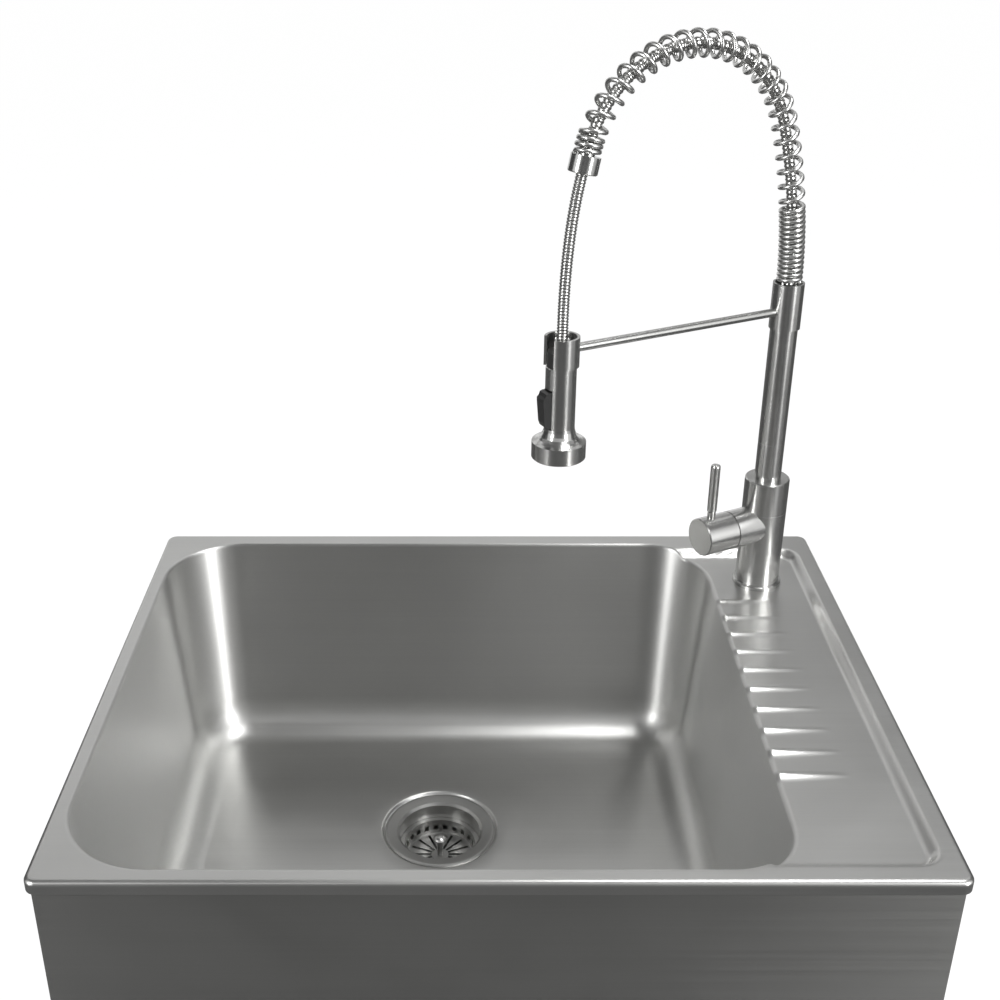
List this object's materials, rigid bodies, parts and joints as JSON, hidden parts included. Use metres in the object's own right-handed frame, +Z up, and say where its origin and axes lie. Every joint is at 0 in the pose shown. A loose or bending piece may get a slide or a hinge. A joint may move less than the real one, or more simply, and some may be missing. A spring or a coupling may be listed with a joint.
{
  "type": "sink cabinet",
  "caption": "Free-standing steel sink cabinet with a deep drawn bowl, a ribbed side tray, two doors on levelling feet, and a spring faucet with a pull-down spray.",
  "frame": {"origin": "on the floor, under the middle of the object's overall box", "axes": "+Z up, +X to the right of someone facing the doors, +Y towards the wall"},
  "size_m": [0.711, 0.584, 1.4192],
  "materials": {
    "sink_steel": "brushed, satin",
    "cabinet_steel": "brushed, satin",
    "door_steel": "brushed, satin",
    "brushed_steel": "fine brushed nickel",
    "spring_steel": "polished wire",
    "hose_steel": "ribbed metal hose",
    "chrome": "polished",
    "zinc": "zinc plated",
    "brass": "turned",
    "foot_steel": "black",
    "black_rubber": "matt",
    "black_plastic": "satin",
    "white_plastic": "satin"
  },
  "bodies": {
    "cabinet": {"side_panel_left": "cabinet_steel", "side_panel_right": "cabinet_steel", "back_panel": "cabinet_steel", "cabinet_floor": "cabinet_steel", "apron": "cabinet_steel", "bottom_rail": "cabinet_steel", "brackets": "zinc", "hinge_pins": "zinc", "magnet_catches": "white_plastic", "back_screws": "zinc", "sink_deck": "sink_steel", "bowl": "sink_steel", "sound_pad": "black_rubber", "strainer_body": "brushed_steel", "strainer_gasket": "black_rubber", "strainer_locknut": "brass", "tailpiece": "chrome", "slip_nuts": "chrome", "trap_bend": "chrome", "trap_arm": "chrome", "base_ring": "brushed_steel", "faucet_body": "brushed_steel", "faucet_shank": "brass", "mounting_nut": "brass", "cartridge": "white_plastic"},
    "door_left": {"door_skin_left": "door_steel", "door_liner_left": "cabinet_steel", "door_handle_left": "brushed_steel", "handle_screws_left": "zinc", "hinge_bushes_left": "black_plastic", "strike_plate_left": "zinc"},
    "door_right": {"door_skin_right": "door_steel", "door_liner_right": "cabinet_steel", "door_handle_right": "brushed_steel", "handle_screws_right": "zinc", "hinge_bushes_right": "black_plastic", "strike_plate_right": "zinc"},
    "foot_front_left": {"foot_front_left": "foot_steel"},
    "foot_front_right": {"foot_front_right": "foot_steel"},
    "foot_back_left": {"foot_back_left": "foot_steel"},
    "foot_back_right": {"foot_back_right": "foot_steel"},
    "strainer_basket": {"basket": "brushed_steel", "basket_knob": "brushed_steel", "basket_seal": "black_rubber"},
    "temperature_ring": {"stem_carrier": "brass"},
    "handle": {"handle_stem": "brass", "handle_cap": "brushed_steel", "handle_lever": "brushed_steel"},
    "neck": {"riser_tube": "brushed_steel", "riser_collar": "brushed_steel", "support_arm": "brushed_steel", "spray_holder": "brushed_steel", "spring": "spring_steel", "hose_arch": "hose_steel", "spring_ferrule": "brushed_steel", "hose_drop": "hose_steel"},
    "spray": {"spray_body": "brushed_steel", "spray_neck": "black_plastic", "spray_face": "black_plastic"},
    "trigger": {"spray_trigger": "black_plastic"}
  },
  "joints": [
    {"name": "door_left_hinge", "type": "hinge", "parent": "cabinet", "child": "door_left", "pos_m": [-0.318, -0.255, 0.35], "axis": [0, 0, -1], "range_deg": [0, 105]},
    {"name": "door_right_hinge", "type": "hinge", "parent": "cabinet", "child": "door_right", "pos_m": [0.318, -0.255, 0.35], "axis": [0, 0, 1], "range_deg": [0, 105]},
    {"name": "neck_swivel", "type": "hinge", "parent": "cabinet", "child": "neck", "pos_m": [0.2845, 0.2035, 0.966], "axis": [0, 0, 1], "continuous": true},
    {"name": "spray_pull", "type": "slide", "parent": "neck", "child": "spray", "axis": [0, 0, -1], "range_m": [0, 0.1], "stiffness_N_per_m": 80, "springref_m": -0.08, "deforming": ["hose_drop"]},
    {"name": "trigger_rock", "type": "hinge", "parent": "spray", "child": "trigger", "pos_m": [0.05177, 0.08492, 1.1], "axis": [0.454, -0.891, 0], "range_deg": [0, 7], "stiffness_Nm_per_rad": 0.05, "springref_deg": -5.73},
    {"name": "temperature_turn", "type": "hinge", "parent": "cabinet", "child": "temperature_ring", "pos_m": [0.25064, 0.18625, 0.926], "axis": [-0.891, -0.454, 0], "range_deg": [-45, 45]},
    {"name": "flow_tilt", "type": "hinge", "parent": "temperature_ring", "child": "handle", "pos_m": [0.2453, 0.18352, 0.9065], "axis": [0.454, -0.891, 0], "range_deg": [0, 20]},
    {"name": "basket_lift", "type": "slide", "parent": "cabinet", "child": "strainer_basket", "axis": [0, 0, 1], "range_m": [0, 0.25]},
    {"name": "foot_front_left_screw", "type": "slide", "parent": "cabinet", "child": "foot_front_left", "axis": [0, 0, -1], "range_m": [0, 0.015]},
    {"name": "foot_front_right_screw", "type": "slide", "parent": "cabinet", "child": "foot_front_right", "axis": [0, 0, -1], "range_m": [0, 0.015]},
    {"name": "foot_back_left_screw", "type": "slide", "parent": "cabinet", "child": "foot_back_left", "axis": [0, 0, -1], "range_m": [0, 0.015]},
    {"name": "foot_back_right_screw", "type": "slide", "parent": "cabinet", "child": "foot_back_right", "axis": [0, 0, -1], "range_m": [0, 0.015]}
  ]
}
